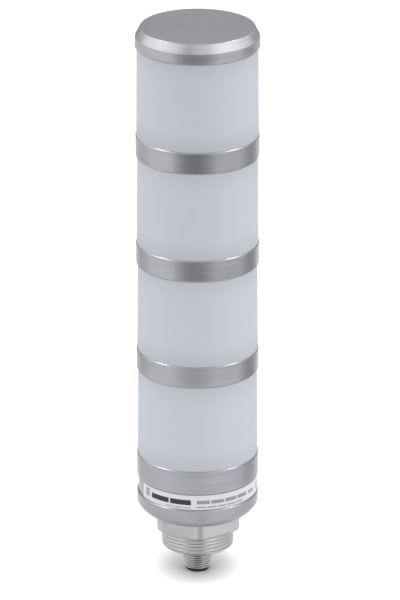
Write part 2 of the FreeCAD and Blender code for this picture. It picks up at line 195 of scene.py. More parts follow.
class STACKLIGHT_PG_stud(bpy.types.PropertyGroup):
    """Sizes of the mounting stud."""
    across_flats: length("Across flats", "Width of the hexagon", 34.0)
    corner_radius: length("Corner radius", "Radius that the hexagon's corners are turned to", 18.65)
    corner_turn: angle("Corner turn", "Angle of the front corner to the right", 3.0)
    hexagon_height: length("Hexagon height", "Height of the hexagon", 6.3)
    edge_ease: length("Edge ease", "Break on the hexagon's edges", 0.25)
    thread_radius: length("Thread radius", "Outer radius of the threaded stub", 15.0)
    thread_pitch: length("Thread pitch", "Rise of the stub's thread in a turn", 1.5)
    thread_depth: length("Thread depth", "Depth of the stub's thread", 0.18)
    end_chamfer: length("End chamfer", "Chamfer at the stub's lower end", 0.6)
    neck: length("Neck radius", "Radius of the neck in the base", 10.0)
    bore: length("Bore radius", "Radius of the bore for the connector", 8.0)
    end_bore: length("End bore radius", "Radius of the hole that the plug passes through", 6.1)
    end_wall: length("End wall", "Thickness of the stub's lower end", 2.0)


class STACKLIGHT_PG_connector(bpy.types.PropertyGroup):
    """Sizes of the connector's shell."""
    radius: length("Radius", "Outer radius of the plug's thread", 6.0)
    bore: length("Bore radius", "Inner radius of the shell", 4.8)
    thread_pitch: length("Thread pitch", "Rise of the plug's thread in a turn", 1.0)
    thread_depth: length("Thread depth", "Depth of the plug's thread", 0.5)
    # Where the painted shade in the hollows of the plug's thread begins
    unshaded_crest: share("Bright crest", "Share of the thread's depth that stays bright", 0.2)
    end_chamfer: length("End chamfer", "Chamfer at the shell's lower end", 0.5)
    relief: length("Relief", "How far the shank stands back inside the stub", 0.2)
    flange: length("Flange radius", "Radius of the flange", 7.9)
    flange_bottom: length("Flange place", "Distance of the flange from the stub's end", 2.8)
    flange_height: length("Flange height", "Thickness of the flange", 3.0)


class STACKLIGHT_PG_finish(bpy.types.PropertyGroup):
    """Colours and roughness of the finishes."""
    aluminium: colour("Aluminium", "Anodised aluminium of the cap, rings and base", (0.348, 0.350, 0.372))
    aluminium_roughness: share("Aluminium roughness", "Blur of the aluminium's reflections", 0.33)
    opal: colour("Opal", "Opal plastic of the lenses", (0.512, 0.525, 0.573))
    opal_roughness: share("Opal roughness", "Blur of the lenses' reflections", 0.52)
    steel: colour("Steel", "Turned steel of the stud", (0.466, 0.458, 0.474))
    steel_roughness: share("Steel roughness", "Blur of the steel's reflections", 0.3)
    # Painted shade: the darkest tone in the hollows of the stub's thread
    steel_root_shade: share("Steel root tone", "Tone in the roots of the stub's thread", 0.78)
    nickel: colour("Nickel", "Plated metal of the connector", (0.80, 0.80, 0.77))
    nickel_roughness: share("Nickel roughness", "Blur of the plating's reflections", 0.16)
    # Painted shade: the darkest tone in the hollows of the plug's thread
    nickel_root_shade: share("Nickel root tone", "Tone in the roots of the plug's thread", 0.42)
    film: colour("Film", "White of the label", (0.64, 0.64, 0.68))
    print: colour("Print", "Dark bars on the label", (0.03, 0.03, 0.035))


class STACKLIGHT_PG_floor(bpy.types.PropertyGroup):
    """Tones of the floor and its shadow, whose size and shape the glow held back paints."""
    tone: share("Tone", "Grey of the floor in the shadow", 0.73)
    glow: share("Glow", "Light that the floor gives where it shows white", 0.56)
    reach: length("Reach", "Distance from the axis to each side", 8000.0)
    shadow_back: length("Shadow's place", "How far the shadow's middle lies behind the axis", 3.2)
    shadow_shape: share("Shadow's shape", "Width of the shadow against its depth", 0.72)
    shadow_inner: length("Shadow's core", "Half the width of the full shadow", 5.6)
    shadow_outer: length("Shadow's edge", "Half the width of the shadow with its soft edge", 23.8)
    mirrored: share("Mirrored glow", "Share of the glow that reflections show", 0.7)
    mirrored_inner: length("Mirrored core", "Radius inside which reflections show no glow", 8.0)
    mirrored_outer: length("Mirrored edge", "Radius outside which reflections show it in full", 36.0)
    given: share("Given glow", "Share of the glow that lights the object", 0.26)


class STACKLIGHT_PG_studio(bpy.types.PropertyGroup):
    """Camera, lamps and dark cards."""
    camera_distance: length("Camera distance", "Distance in front of the column", 1800.0)
    camera_rise: length("Camera rise", "Height above the cap", 583.0)
    camera_side: length("Camera side", "Distance to the right of the column", 1.0)
    camera_tilt: angle("Camera tilt", "Angle that the camera looks down", 21.26)
    focal_length: FloatProperty(name="Focal length", description="Focal length of the camera",
                                default=283.98, unit="CAMERA")
    ambient: share("Ambient", "Strength of the even light", 0.64)
    lamp_distance: length("Lamp distance", "Distance of every lamp", 1100.0)
    left_lamp_power: power("Left lamp power", "Power of the left side lamp", 5.6)
    right_lamp_power: power("Right lamp power", "Power of the right side lamp", 5.936)
    lamp_azimuth: angle("Lamp azimuth", "Angle of the side lamps from the front", 75.0)
    lamp_elevation: angle("Lamp elevation", "Angle of the side lamps above the object", 25.0)
    lamp_size: width_height("Lamp size", "Width and height of the side lamps", (2.1, 0.8))
    edge_lamp_power: power("Edge lamp power", "Power of each small lamp for the chamfered edges", 1.8)
    edge_lamp_azimuth: angle("Edge lamp azimuth", "Angle of the small lamps from the front", 91.0)
    edge_lamp_elevation: angle("Edge lamp elevation", "Angle of the small lamps above the object", 50.0)
    edge_lamp_size: width_height("Edge lamp size", "Width and height of the small lamps", (0.25, 0.25))
    front_lamp_power: power("Front lamp power", "Power of the front lamp", 1.6)
    front_lamp_azimuth: angle("Front lamp azimuth", "Angle of the front lamp to the right", 29.0)
    front_lamp_elevation: angle("Front lamp elevation", "Angle of the front lamp above the object", 32.0)
    front_lamp_size: width_height("Front lamp size", "Width and height of the front lamp", (1.4, 0.4))
    front_card: card("Front card", "Darkens the front of the rings", (-5, 0.27, 0.52, 0.24, 0.94))
    right_card: card("Right card", "Darkens the right of the rings", (58, 0.30, 0.40, 0.147, 0.51))
    side_card: card("Side card", "Edges the column on the right", (104, 0.09, 0.10, 0.32, 0.56))
    left_card: card("Left card", "Edges the column on the left", (-117, 0.09, 0.10, 0.245, 0.29))
    back_card: card("Back card", "Darkens what the flat top mirrors", (180, 0.60, 1.10, 0.60, 0.62))
    corner_card: card("Corner card", "Darkens the hexagon's front corner", (6, 0.05, 0.014, 0.024, 0.66))
    flat_card: card("Flat card", "Darkens the hexagon's left flat", (-54, 0.05, 0.06, 0.024, 0.27))
    plug_card: card("Plug card", "Darkens the front of the plug", (0, 0.010, 0.015, 0.018, 0.5))


# Surfaces
def eased(corners, steps=EASE_STEPS):
    """Profile whose corners are rounded. At a corner B with neighbours A and C, P and Q lie on BA and BC at
    the corner's ease, and the corner becomes the curve (1-s)²P + 2s(1-s)B + s²Q for s from 0 to 1. One more
    point on each side, a short hold further out, keeps the straight parts flat. A corner with no ease stays
    sharp."""
    points = np.array([corner[:2] for corner in corners], float)
    ease = np.array([corner[2] if len(corner) > 2 else 0.0 for corner in corners])[:, None]

    def towards(neighbours):
        away = neighbours - points
        return away / np.maximum(np.linalg.norm(away, axis=1, keepdims=True), CLOSE)

    back = towards(np.roll(points, 1, axis=0))
    onward = towards(np.roll(points, -1, axis=0))
    start = points + back * ease
    end = points + onward * ease
    s = np.linspace(0.0, 1.0, steps)[None, :, None]
    curve = (1 - s) ** 2 * start[:, None] + 2 * s * (1 - s) * points[:, None] + s ** 2 * end[:, None]
    held = np.where(ease > 0, ease + EASE_HOLD, 0.0)
    before = points + back * held
    after = points + onward * held
    rows = np.concatenate([before[:, None], curve, after[:, None]], axis=1).reshape(-1, 2)
    kept = np.linalg.norm(rows - np.roll(rows, 1, axis=0), axis=1) > CLOSE
    kept[0] = True
    return rows[kept]


def broken_edge(joint, radius, height, upper=True):
    """The two corners that a 45 degree chamfer puts in place of an outer edge, in order along a profile that
    climbs the outside, each a little rounded."""
    size, ease = joint.edge_break, joint.edge_ease
    if upper:
        return [(radius, height - size, ease), (radius - size, height, ease)]
    return [(radius - size, height, ease), (radius, height + size, ease)]


def even_angles(steps):
    """Angles of the steps of a full turn."""
    return np.arange(steps) * TURN / steps


def turned(name, radius, height, angles, loop):
    """Mesh of the points (r·cos a, r·sin a, z), with r and z given for each row of a profile and each angle
    a. The rows run upwards on the outside. A loop's last row joins its first. Other profiles begin and end on
    the axis, where a fan of triangles closes each end."""
    shape = (len(radius), len(angles))
    radius = np.broadcast_to(radius if np.ndim(radius) > 1 else radius[:, None], shape)
    height = np.broadcast_to(height if np.ndim(height) > 1 else height[:, None], shape)
    grid = np.stack([radius * np.cos(angles), radius * np.sin(angles), height], axis=-1)
    inner = grid if loop else grid[1:-1]
    index = np.arange(inner.shape[0] * inner.shape[1]).reshape(inner.shape[:2])
    lower = index if loop else index[:-1]
    upper = np.roll(index, -1, axis=0) if loop else index[1:]
    faces = np.stack([lower, np.roll(lower, -1, axis=1), np.roll(upper, -1, axis=1), upper], axis=-1)
    points = inner.reshape(-1, 3)
    faces = faces.reshape(-1, 4).tolist()
    if not loop:
        bottom = np.full_like(index[0], len(points))
        top = bottom + 1
        points = np.concatenate([points, grid[[0, -1], 0]])
        faces += np.stack([bottom, np.roll(index[0], -1), index[0]], axis=-1).tolist()
        faces += np.stack([index[-1], np.roll(index[-1], -1), top], axis=-1).tolist()
    return new_object(name, points, faces)


def band(name, section, angles):
    """Closed section carried along part of a turn: the points (r·cos a, r·sin a, z) for each (r, z) of the
    section and each angle a, with a flat face at each end."""
    radius, height = section.T[:, :, None]
    heights = np.broadcast_to(height, (len(section), len(angles)))
    points = np.stack([radius * np.cos(angles), radius * np.sin(angles), heights], axis=-1)
    index = np.arange(points.shape[0] * points.shape[1]).reshape(points.shape[:2])
    upper = np.roll(index, -1, axis=0)
    faces = np.stack([index[:, :-1], index[:, 1:], upper[:, 1:], upper[:, :-1]], axis=-1)
    faces = faces.reshape(-1, 4).tolist()
    faces += [index[:, 0].tolist(), index[::-1, -1].tolist()]
    return new_object(name, points.reshape(-1, 3), faces)


def new_object(name, points, faces):
    """Object at the origin with smooth faces, parted at sharp edges."""
    mesh = bpy.data.meshes.new(name)
    mesh.from_pydata(points.tolist(), [], faces)
    mesh.shade_smooth()
    mesh.set_sharp_from_angle(angle=SHARP)
    made = bpy.data.objects.new(name, mesh)
    bpy.context.scene.collection.objects.link(made)
    return made


def thread_cut(height, angles, pitch, depth):
    """Depth of a right-handed thread at each height z and angle a: the turn u = z/pitch - a/2π gives
    w = |2·frac(u) - 1|, from 0 on a crest to 1 at a root, f runs from 0 to 1 over the flank, and the cut is
    depth·f²(3 - 2f)."""
    turns = height[:, None] / pitch - angles[None, :] / TURN
    w = np.abs(2 * np.mod(turns, 1.0) - 1)
    flank = np.clip((w - CREST) / FLANK, 0.0, 1.0)
    return depth * flank ** 2 * (3 - 2 * flank)


def threaded(low, high, radius, part, angles):
    """Rows of a part's threaded wall from low to high: the full radius less the thread's cut, which fades in
    from the top, and never more than the chamfer at the lower end allows."""
    pitch = part.thread_pitch
    count = int(round((high - low) / pitch * THREAD_ROWS)) + 1
    height = np.linspace(low, high, count)
    fade = np.clip((high - height) / (FADE * pitch), 0.0, 1.0)
    wall = radius - thread_cut(height, angles, pitch, part.thread_depth) * fade[:, None]
    limit = radius - np.maximum(part.end_chamfer - (height - low), 0.0)
    return np.minimum(wall, limit[:, None]), np.broadcast_to(height[:, None], wall.shape)


def stacked(blocks, columns):
    """Radius and height rows from a list of (radius, height) blocks, each widened to all the columns."""

    def wide(rows):
        rows = np.atleast_1d(np.asarray(rows, float))
        return np.broadcast_to(rows if rows.ndim > 1 else rows[:, None], (len(rows), columns))
    return [np.concatenate([wide(block[part]) for block in blocks]) for part in (0, 1)]


# Shader maths
class Field:
    """A socket in a node tree. Arithmetic on fields and plain numbers adds Math nodes."""

    def __init__(self, tree, socket=None):
        self.tree = tree
        self.socket = socket

    def node(self, kind, settings, inputs, output=0):
        """Add a node. Its settings come first, then each input takes a field's link or a plain value."""
        added = self.tree.nodes.new(kind)
        for name, value in settings.items():
            setattr(added, name, value)
        for name, value in inputs.items():
            if isinstance(value, Field):
                self.tree.links.new(value.socket, added.inputs[name])
            else:
                added.inputs[name].default_value = value
        return Field(self.tree, added.outputs[output] if added.outputs else None)

    def output(self, name):
        """Another output of the node that this field comes from."""
        return Field(self.tree, self.socket.node.outputs[name])

    def math(self, operation, *others):
        """One Math node on this field and what follows it."""
        return self.node("ShaderNodeMath", {"operation": operation}, dict(enumerate([self, *others])))

    def __add__(self, other):
        return self.math("ADD", other)

    def __sub__(self, other):
        return self.math("SUBTRACT", other)

    def __rsub__(self, other):
        return self.node("ShaderNodeMath", {"operation": "SUBTRACT"}, {0: other, 1: self})

    def __mul__(self, other):
        return self.math("MULTIPLY", other)

    def __truediv__(self, other):
        return self.math("DIVIDE", other)

    __radd__ = __add__
    __rmul__ = __mul__

    def smooth(self, low, high):
        """0 below low, 1 above high, and a smooth step between."""
        return self.node("ShaderNodeMapRange", {"interpolation_type": "SMOOTHSTEP"},
                         {"Value": self, "From Min": low, "From Max": high})

    def between(self, low, high, soft):
        """1 from low to high with soft edges, and 0 elsewhere."""
        return self.smooth(low - soft, low + soft) * (1 - self.smooth(high - soft, high + soft))

    def mix(self, first, second):
        """Colour that runs from the first to the second as this field runs from 0 to 1. Inputs 6 and 7 and
        output 2 are the Mix node's colours."""
        return self.node("ShaderNodeMix", {"data_type": "RGBA"}, {0: self, 6: first, 7: second}, 2)


def opaque(rgb, scale=1.0):
    """Colour whose channels are scaled and stay at or below 1, with full alpha."""
    return (*[min(channel * scale, 1.0) for channel in rgb], 1.0)


class Finish:
    """A new material, the coordinates of the object that wears it, and ways to close it with a shader."""

    def __init__(self, name):
        self.material = bpy.data.materials.new(name)
        self.material.use_nodes = True
        self.material.node_tree.nodes.clear()
        self.node = Field(self.material.node_tree).node
        self.place = self.node("ShaderNodeTexCoord", {}, {}, "Object")
        self.x = self.node("ShaderNodeSeparateXYZ", {}, {0: self.place}, "X")
        self.y = self.x.output("Y")
        self.z = self.x.output("Z")
        self.radius = (self.x * self.x + self.y * self.y).math("SQRT")

    def noise(self, vector, scale=1.0, detail=2.0):
        """Noise about 0.5 on a vector."""
        return self.node("ShaderNodeTexNoise", {}, {"Vector": vector, "Scale": scale, "Detail": detail})

    def around(self, waves, lines):
        """Vector on which noise runs long round the axis and short along the profile: (waves·x/r, waves·y/r,
        lines·(z + r))."""
        reach = self.radius.math("MAXIMUM", AXIS_RADIUS)
        return self.node("ShaderNodeCombineXYZ", {}, {
            0: self.x / reach * waves,
            1: self.y / reach * waves,
            2: (self.z + self.radius) * lines,
        })

    def grained(self, pattern, rgb, grain, spread=0.2):
        """Colour that a pattern about 0.5 makes darker and paler by the grain, in full at the spread."""
        return pattern.smooth(0.5 - spread, 0.5 + spread).mix(opaque(rgb, 1 - grain), opaque(rgb, 1 + grain))

    def gloss(self, pattern, roughness, swing):
        """Roughness that a pattern from 0 to 1 moves up and down by half the swing."""
        return pattern * swing + (roughness - swing / 2)

    def bump(self, height, relief):
        """Slope of a surface that a pattern from 0 to 1 raises by up to the relief."""
        return self.node("ShaderNodeBump", {}, {"Strength": 1.0, "Distance": relief, "Height": height})

    def diffuse(self, rgba):
        """Plain matt shader."""
        return self.node("ShaderNodeBsdfDiffuse", {}, {"Color": rgba})

    def close(self, **inputs):
        """The material with a principled shader of these inputs, named with underscores for spaces."""
        named = {name.replace("_", " "): value for name, value in inputs.items()}
        return self.wear(self.node("ShaderNodeBsdfPrincipled", {}, named))

    def close_mixed(self, part, first, second):
        """The material with a shader that runs from the first to the second as the part runs from 0 to 1."""
        return self.wear(self.node("ShaderNodeMixShader", {}, {0: part, 1: first, 2: second}))

    def wear(self, shader):
        """The material with a shader wired to its output."""
        self.node("ShaderNodeOutputMaterial", {}, {"Surface": shader})
        return self.material


def turned_metal(name, rgb, roughness, lines=5200.0, grain=0.06, relief=0.003 * MM, painted_root_shade=None):
    """Metal with the fine lines that turning leaves, which shift its colour, gloss and slope a little: 0.6 of
    fine noise and 0.4 of noise that is seven times wider. Where painted_root_shade gives two radii and a
    tone, the colour darkens to the tone from the larger radius to the smaller one: painted shade in the
    hollows of a thread."""
    finish = Finish(name)
    fine = finish.noise(finish.around(waves=1.2, lines=lines), detail=3.0)
    wide = finish.noise(finish.around(waves=0.8, lines=lines / 7))
    seen = fine * 0.6 + wide * 0.4
    shade = finish.grained(seen, rgb, grain, spread=0.25)
    # Painted shade: the colour darkens towards the smaller radius, in the hollows of a thread
    if painted_root_shade:
        root, crest, tone = painted_root_shade
        shade = finish.radius.smooth(root, crest).mix(opaque(rgb, tone), shade)
    return finish.close(Base_Color=shade, Roughness=finish.gloss(seen, roughness, swing=0.12),
                        Normal=finish.bump(seen, relief), Metallic=1.0, Anisotropic=0.5,
                        Anisotropic_Rotation=0.25)


def milled_metal(name, rgb, roughness, grain=0.06, scale=900.0):
    """Plated, drawn or milled metal with an even fine grain."""
    finish = Finish(name)
    cloud = finish.noise(finish.place, scale, detail=3.0)
    return finish.close(Base_Color=finish.grained(cloud, rgb, grain), Metallic=1.0,
                        Roughness=finish.gloss(cloud, roughness, swing=0.1))


def moulded(name, rgb, roughness, grain=0.05, scale=1400.0, relief=0.003 * MM):
    """Plastic, rubber or coated board with a faint grain."""
    finish = Finish(name)
    cloud = finish.noise(finish.place, scale)
    return finish.close(Base_Color=finish.grained(cloud, rgb, grain), Normal=finish.bump(cloud, relief),
                        Roughness=finish.gloss(cloud, roughness, swing=0.08))


def opal_plastic(rgb, roughness):
    """Opal plastic, faintly clouded, with painted shade over about a quarter of a lens's length at each end,
    next to the metal, and painted light that makes it a little paler from the top lens to the lowest, as
    from the pale floor below. The tone that these add up to runs from 0, the darkest colour, to 1, the
    palest."""
    darkest, palest = opaque(rgb, 0.70), opaque(rgb, 1.03)
    middle, clouded, painted_light_down, painted_shade_top, painted_shade_bottom = 0.57, 0.14, 0.27, 0.22, 0.36
    finish = Finish("opal plastic")
    segment = ((finish.z - base_top) / segment_pitch).math("FRACT")
    lens_end = 1 - (ring_spans[0][1] - ring_spans[0][0]) / segment_pitch
    # Painted shade: masks that rise towards each end of a lens, next to the metal
    painted_top_shade_mask = segment.smooth(0.72 * lens_end, lens_end)
    painted_bottom_shade_mask = 1 - segment.smooth(0.0, 0.26 * lens_end)
    # Painted light: paler from the top lens to the lowest, as from the pale floor below
    depth = (cap_bottom - finish.z) / (cap_bottom - base_top)
    cloud = finish.noise(finish.place, scale=60.0)
    tone = cloud * clouded + depth * painted_light_down - painted_top_shade_mask * painted_shade_top - painted_bottom_shade_mask * painted_shade_bottom + middle
    return finish.close(Base_Color=tone.mix(darkest, palest), Roughness=cloud * 0.06 + roughness, IOR=1.49,
                        Specular_IOR_Level=0.35)


def label_film(film, ink):
    """White film with plain bars. A bar's mask is a window in the angle from the front times a window in
    height, and a run of short bars comes from the fraction of the angle over the bars' step. Angles are in
    degrees, and heights are shares of the label's height."""
    finish = Finish("label film")
    azimuth = finish.x.math("ARCTAN2", finish.y * -1.0) * (360.0 / TURN)
    height = (finish.z - label_bottom) / (label_top - label_bottom)
    side_blur, edge_blur = 0.15, 0.01
    film_grain = 0.02
    film_roughness, ink_roughness = 0.5, 0.4

    def window(left, right, low, high):
        return azimuth.between(left, right, side_blur) * height.between(low, high, edge_blur)

    # The striped block: left and right end, lower and upper edge, and the stripes, whose start and end are
    # shares of their step
    block = (-58.8, -53.2, 0.30, 0.85)
    stripe_count = 7.0
    stripe_start, stripe_end, stripe_blur = 0.25, 0.85, 0.05
    stripe_darkness = 0.85
    # Each run's left and right end, lower and upper edge, step, share of a step that is filled, and darkness
    runs = [
        (-50.5, -5.5, 0.32, 0.67, 22.5, 0.93, 1.0),
        (-32.0, -6.0, 0.10, 0.18, 8.7, 0.90, 0.50),
        (-1.5, 55.0, 0.40, 0.64, 14.1, 0.90, 0.62),
        (-1.5, 49.0, 0.12, 0.24, 10.1, 0.88, 0.50),
        (57.5, 66.5, 0.36, 0.62, 4.5, 0.70, 0.70),
        (74.0, 104.0, 0.30, 0.42, 10.0, 0.90, 0.55),
        (74.0, 98.0, 0.56, 0.68, 8.0, 0.90, 0.55),
    ]
    stripes = (height * stripe_count).math("FRACT").between(stripe_start, stripe_end, stripe_blur)
    mask = window(*block) * stripes * stripe_darkness
    for left, right, low, high, step, filled, darkness in runs:
        place = ((azimuth - left) / step).math("FRACT")
        bars = place.between(0.5 - filled / 2, 0.5 + filled / 2, edge_blur)
        mask = mask.math("MAXIMUM", window(left, right, low, high) * bars * darkness)
    cloud = finish.noise(finish.place, scale=500.0)
    white = cloud.mix(opaque(film, 1 - film_grain), opaque(film, 1 + film_grain))
    gloss = mask * (ink_roughness - film_roughness) + film_roughness
    return finish.close(Base_Color=mask.mix(white, opaque(ink)), Roughness=gloss, Specular_IOR_Level=0.3)


# Pieces
def dress(piece, material, node):
    """Give a piece its material and its body, and let it stand for its CAD node."""
    piece.data.materials.append(material)
    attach(piece, "root")
    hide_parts(node)


def shared_aluminium(context):
    """The one aluminium that the cap, rings and base wear."""
    finish = context.scene.stack_light_finish
    found = bpy.data.materials.get("turned aluminium")
    return found or turned_metal("turned aluminium", finish.aluminium, finish.aluminium_roughness, grain=0.10)


def turned_piece(name, corners, loop=True):
    """Turned piece from the corners of its profile, each a radius, a height and an ease if it has one."""
    profile = eased(corners)
    return turned(name, profile[:, 0], profile[:, 1], even_angles(COLUMN_STEPS), loop)


class STACKLIGHT_OT_top_cap(bpy.types.Operator):
    """Turned cap: a sloping edge round a flat top, a skirt over the lens, and a boss inside"""
    bl_idname = "stack_light.top_cap"
    bl_label = "Top cap"

    def execute(self, context):
        cap, joint = context.scene.stack_light_cap, context.scene.stack_light_joints
        shoulder = cap_top - cap.chamfer_height
        seat = cap_bottom + joint.depth
        ceiling = cap_top - cap.roof
        boss_end = ceiling - cap.boss_length
        hole_end = boss_end + cap.hole_depth
        piece = turned_piece("cap_surface", [
            (0, hole_end),
            (cap.hole_radius, hole_end),
            (cap.hole_radius, boss_end),
            (cap.boss_radius, boss_end, cap.boss_ease),
            (cap.boss_radius, ceiling),
            (cap.pocket, ceiling),
            (cap.pocket, seat),
            (joint.bore, seat),
            (joint.bore, cap_bottom),
            *broken_edge(joint, column_radius, cap_bottom, upper=False),
            (column_radius, shoulder, cap.chamfer_foot_ease),
            (column_radius - cap.chamfer_width, cap_top, cap.chamfer_top_ease),
            (0, cap_top),
        ], loop=False)
        dress(piece, shared_aluminium(context), "top_cap")
        return {"FINISHED"}


class STACKLIGHT_OT_rings(bpy.types.Operator):
    """Turned rings between the lenses, each with a web inside"""
    bl_idname = "stack_light.rings"
    bl_label = "Divider rings"

    def execute(self, context):
        joint = context.scene.stack_light_joints
        for index, (low, high) in enumerate(ring_spans, 1):
            piece = turned_piece("ring_surface_%d" % index, [
                (joint.bore, low),
                *broken_edge(joint, column_radius, low, upper=False),
                *broken_edge(joint, column_radius, high),
                (joint.bore, high),
                (joint.bore, high - joint.depth),
                (joint.web_bore, high - joint.depth),
                (joint.web_bore, low + joint.depth),
                (joint.bore, low + joint.depth),
            ])
            dress(piece, shared_aluminium(context), "divider_ring_%d" % index)
        return {"FINISHED"}


class STACKLIGHT_OT_lenses(bpy.types.Operator):
    """Opal lenses with a slight draft and a thin spigot at each end"""
    bl_idname = "stack_light.lenses"
    bl_label = "Lenses"

    def execute(self, context):
        joint = context.scene.stack_light_joints
        finish = context.scene.stack_light_finish
        material = opal_plastic(finish.opal, finish.opal_roughness)
        tops = [cap_bottom] + [low for low, high in ring_spans]
        bottoms = [high for low, high in ring_spans] + [base_top]
        for index, (low, high) in enumerate(zip(bottoms, tops), 1):
            piece = turned_piece("lens_surface_%d" % index, [
                (joint.lens_bore, low - joint.spigot_length),
                (joint.spigot_radius, low - joint.spigot_length, joint.spigot_ease),
                (joint.spigot_radius, low),
                (column_radius - joint.lens_inset_bottom, low, joint.lens_bottom_ease),
                (column_radius - joint.lens_inset_top, high, joint.lens_top_ease),
                (joint.spigot_radius, high),
                (joint.spigot_radius, high + joint.spigot_length, joint.spigot_ease),
                (joint.lens_bore, high + joint.spigot_length),
            ])
            dress(piece, material, "lens_%d" % index)
        return {"FINISHED"}


class STACKLIGHT_OT_base(bpy.types.Operator):
    """Turned base housing: rounded cup, lip, label groove and band, hollow inside"""
    bl_idname = "stack_light.base"
    bl_label = "Base housing"

    def execute(self, context):
        base, joint = context.scene.stack_light_base, context.scene.stack_light_joints
        lip_bottom = base_bottom + base.cup_height
        groove_bottom = lip_bottom + base.lip_height
        groove_top = groove_bottom + base.groove_height
        groove_radius = column_radius - base.groove_depth
        floor_top = base_bottom + base.floor
        rise = base.cup_height
        run = column_radius - base.cup_rim
        swell = 2 * base.cup_bulge / math.hypot(run, rise)
        crown_radius = base.cup_rim + run / 2 + swell * rise
        crown_height = base_bottom + rise / 2 - swell * run
        side = math.hypot(crown_radius - base.cup_rim, crown_height - base_bottom)
        piece = turned_piece("base_surface", [
            (base.hole, base_bottom),
            (base.cup_rim, base_bottom, base.cup_ease),
            (crown_radius, crown_height, side - base.lip_ease - EASE_GAP),
            (column_radius, lip_bottom, base.lip_ease),
            *broken_edge(joint, column_radius, groove_bottom),
            (groove_radius, groove_bottom),
            (groove_radius, groove_top),
            *broken_edge(joint, column_radius, groove_top, upper=False),
            *broken_edge(joint, column_radius, base_top),
            (joint.bore, base_top),
            (joint.bore, base_top - joint.depth),
            (base.cavity, base_top - joint.depth),
            (base.cavity, floor_top + base.inner_chamfer),
            (base.cavity - base.inner_chamfer, floor_top),
            (base.hole, floor_top),
        ])
        dress(piece, shared_aluminium(context), "base_housing")
        return {"FINISHED"}


class STACKLIGHT_OT_label(bpy.types.Operator):
    """White film in the groove, with plain bars"""
    bl_idname = "stack_light.label"
    bl_label = "Label"

    def execute(self, context):
        base, finish = context.scene.stack_light_base, context.scene.stack_light_finish
        inner = column_radius - base.groove_depth + base.label_gap
        outer = inner + base.label_thickness
        section = eased([
            (inner, label_bottom),
            (outer, label_bottom, base.label_ease),
            (outer, label_top, base.label_ease),
            (inner, label_top),
        ], steps=3)
        angles = np.linspace(FRONT - base.label_left, FRONT + base.label_right, LABEL_STEPS)
        piece = band("label_surface", section, angles)
        dress(piece, label_film(finish.film, finish.print), "label")
        return {"FINISHED"}


class STACKLIGHT_OT_stud(bpy.types.Operator):
    """Mounting stud: hexagon with turned corners, threaded stub below, neck above, bored through"""
    bl_idname = "stack_light.stud"
    bl_label = "Mounting stud"

    def execute(self, context):
        stud, finish = context.scene.stack_light_stud, context.scene.stack_light_finish
        angles = even_angles(STUD_STEPS)
        sixth = TURN / 6
        first_flat = FRONT + sixth / 2 + stud.corner_turn
        from_flat = np.mod(angles - first_flat + sixth / 2, sixth) - sixth / 2
        hexagon = np.minimum(stud.across_flats / 2 / np.cos(from_flat), stud.corner_radius)
        sides = np.array([hexagon - stud.edge_ease, hexagon, hexagon, hexagon - stud.edge_ease])
        levels = [0.0, stud.edge_ease, stud.hexagon_height - stud.edge_ease, stud.hexagon_height]
        seat = stud_bottom + stud.end_wall
        radius, height = stacked([
            ([stud.end_bore], [stud_bottom]),
            threaded(stud_bottom, 0.0, stud.thread_radius, stud, angles),
            (sides, levels),
            ([stud.neck, stud.neck, stud.bore, stud.bore, stud.end_bore],
             [stud.hexagon_height, stud_top, stud_top, seat, seat]),
        ], len(angles))
        piece = turned("stud_surface", radius, height, angles, loop=True)
        # Painted shade in the hollows of the stub's thread, from the crest radius down to the root radius
        painted_root_shade = (stud.thread_radius - stud.thread_depth, stud.thread_radius, finish.steel_root_shade)
        material = turned_metal("turned steel", finish.steel, finish.steel_roughness, grain=0.05, painted_root_shade=painted_root_shade)
        dress(piece, material, "mounting_stud")
        return {"FINISHED"}


class STACKLIGHT_OT_connector(bpy.types.Operator):
    """Connector shell: threaded sleeve below, shank and flange in the stud"""
    bl_idname = "stack_light.connector"
    bl_label = "Connector shell"

    def execute(self, context):
        plug, finish = context.scene.stack_light_connector, context.scene.stack_light_finish
        angles = even_angles(PLUG_STEPS)
        shank = plug.radius - plug.relief
        flange_bottom = stud_bottom + plug.flange_bottom
        flange_top = flange_bottom + plug.flange_height
        radius, height = stacked([
            ([plug.bore], [shell_bottom]),
            threaded(shell_bottom, stud_bottom, plug.radius, plug, angles),
            ([shank, shank, plug.flange, plug.flange, plug.radius, plug.radius, plug.bore],
             [stud_bottom, flange_bottom, flange_bottom, flange_top, flange_top, shell_top, shell_top]),
        ], len(angles))
        piece = turned("connector_surface", radius, height, angles, loop=True)
        # Painted shade in the hollows of the plug's thread, from near the crest down to the root
        root = plug.radius - plug.thread_depth
        crest = plug.radius - plug.unshaded_crest * plug.thread_depth
        material = turned_metal("nickel plate", finish.nickel, finish.nickel_roughness, lines=1800.0,
                                grain=0.04, relief=0.0005 * MM, painted_root_shade=(root, crest, finish.nickel_root_shade))
        dress(piece, material, "connector_shell")
        return {"FINISHED"}


